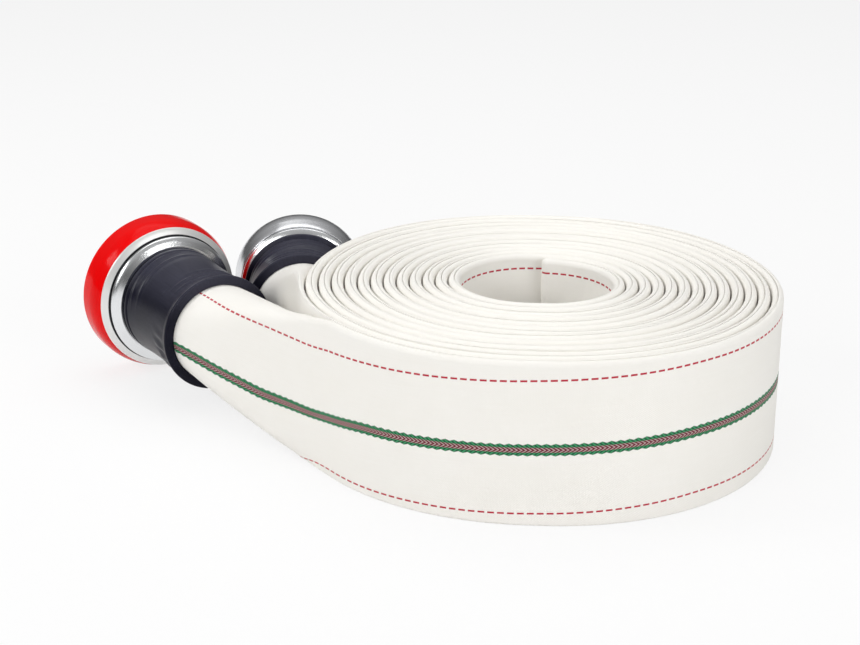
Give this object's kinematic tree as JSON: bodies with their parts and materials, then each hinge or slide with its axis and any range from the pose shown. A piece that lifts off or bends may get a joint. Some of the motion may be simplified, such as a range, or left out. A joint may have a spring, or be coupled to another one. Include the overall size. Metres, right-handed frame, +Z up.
{
  "type": "rolled fire hose",
  "caption": "Flat woven fire hose folded at its middle and rolled double, with a swivelling twist coupling on each end.",
  "frame": {"origin": "centre of the roll's open core, on the floor that the roll lies on", "axes": "+Z up along the core, +X along the longest side, away from the couplings, +Y towards the fronts of the couplings"},
  "size_m": [0.5994, 0.4166, 0.1365],
  "materials": {
    "woven_jacket": "woven polyester, off-white",
    "lining_rubber": "smooth",
    "cast_aluminium": "machined",
    "polished_aluminium": "polished",
    "red_guard": "glossy",
    "black_rubber": "smooth moulded",
    "washer_plastic": "natural",
    "spring_steel": "drawn wire",
    "binding_wire": "drawn wire"
  },
  "bodies": {
    "roll": {"roll_jacket": "woven_jacket", "roll_lining": "lining_rubber", "plain_end_jacket": "woven_jacket", "plain_end_lining": "lining_rubber", "plain_end_hose_tail": "cast_aluminium", "plain_end_gasket": "black_rubber", "plain_end_thrust_washer": "washer_plastic", "plain_end_retaining_collar": "polished_aluminium", "plain_end_spring_clip": "spring_steel", "plain_end_binding_wire": "binding_wire", "plain_end_sleeve": "black_rubber"},
    "red_end": {"red_end_jacket": "woven_jacket", "red_end_lining": "lining_rubber", "red_end_hose_tail": "cast_aluminium", "red_end_gasket": "black_rubber", "red_end_thrust_washer": "washer_plastic", "red_end_retaining_collar": "polished_aluminium", "red_end_spring_clip": "spring_steel", "red_end_binding_wire": "binding_wire", "red_end_sleeve": "black_rubber"},
    "red_ring": {"red_end_lug_ring": "cast_aluminium", "red_end_guard_ring": "red_guard"},
    "plain_ring": {"plain_end_lug_ring": "cast_aluminium"}
  },
  "joints": [
    {"name": "red_end_swing", "type": "hinge", "parent": "roll", "child": "red_end", "pos_m": [-0.15908, -0.11911, 0.06472], "axis": [0, 0, 1], "range_deg": [0, 30]},
    {"name": "red_ring_swivel", "type": "hinge", "parent": "red_end", "child": "red_ring", "pos_m": [-0.33835, 0.121, 0.06828], "axis": [-0.5806, 0.814, 0.0175], "continuous": true},
    {"name": "plain_ring_swivel", "type": "hinge", "parent": "roll", "child": "plain_ring", "pos_m": [-0.22097, 0.18265, 0.06053], "axis": [-0.1564, 0.9876, -0.0118], "continuous": true}
  ]
}
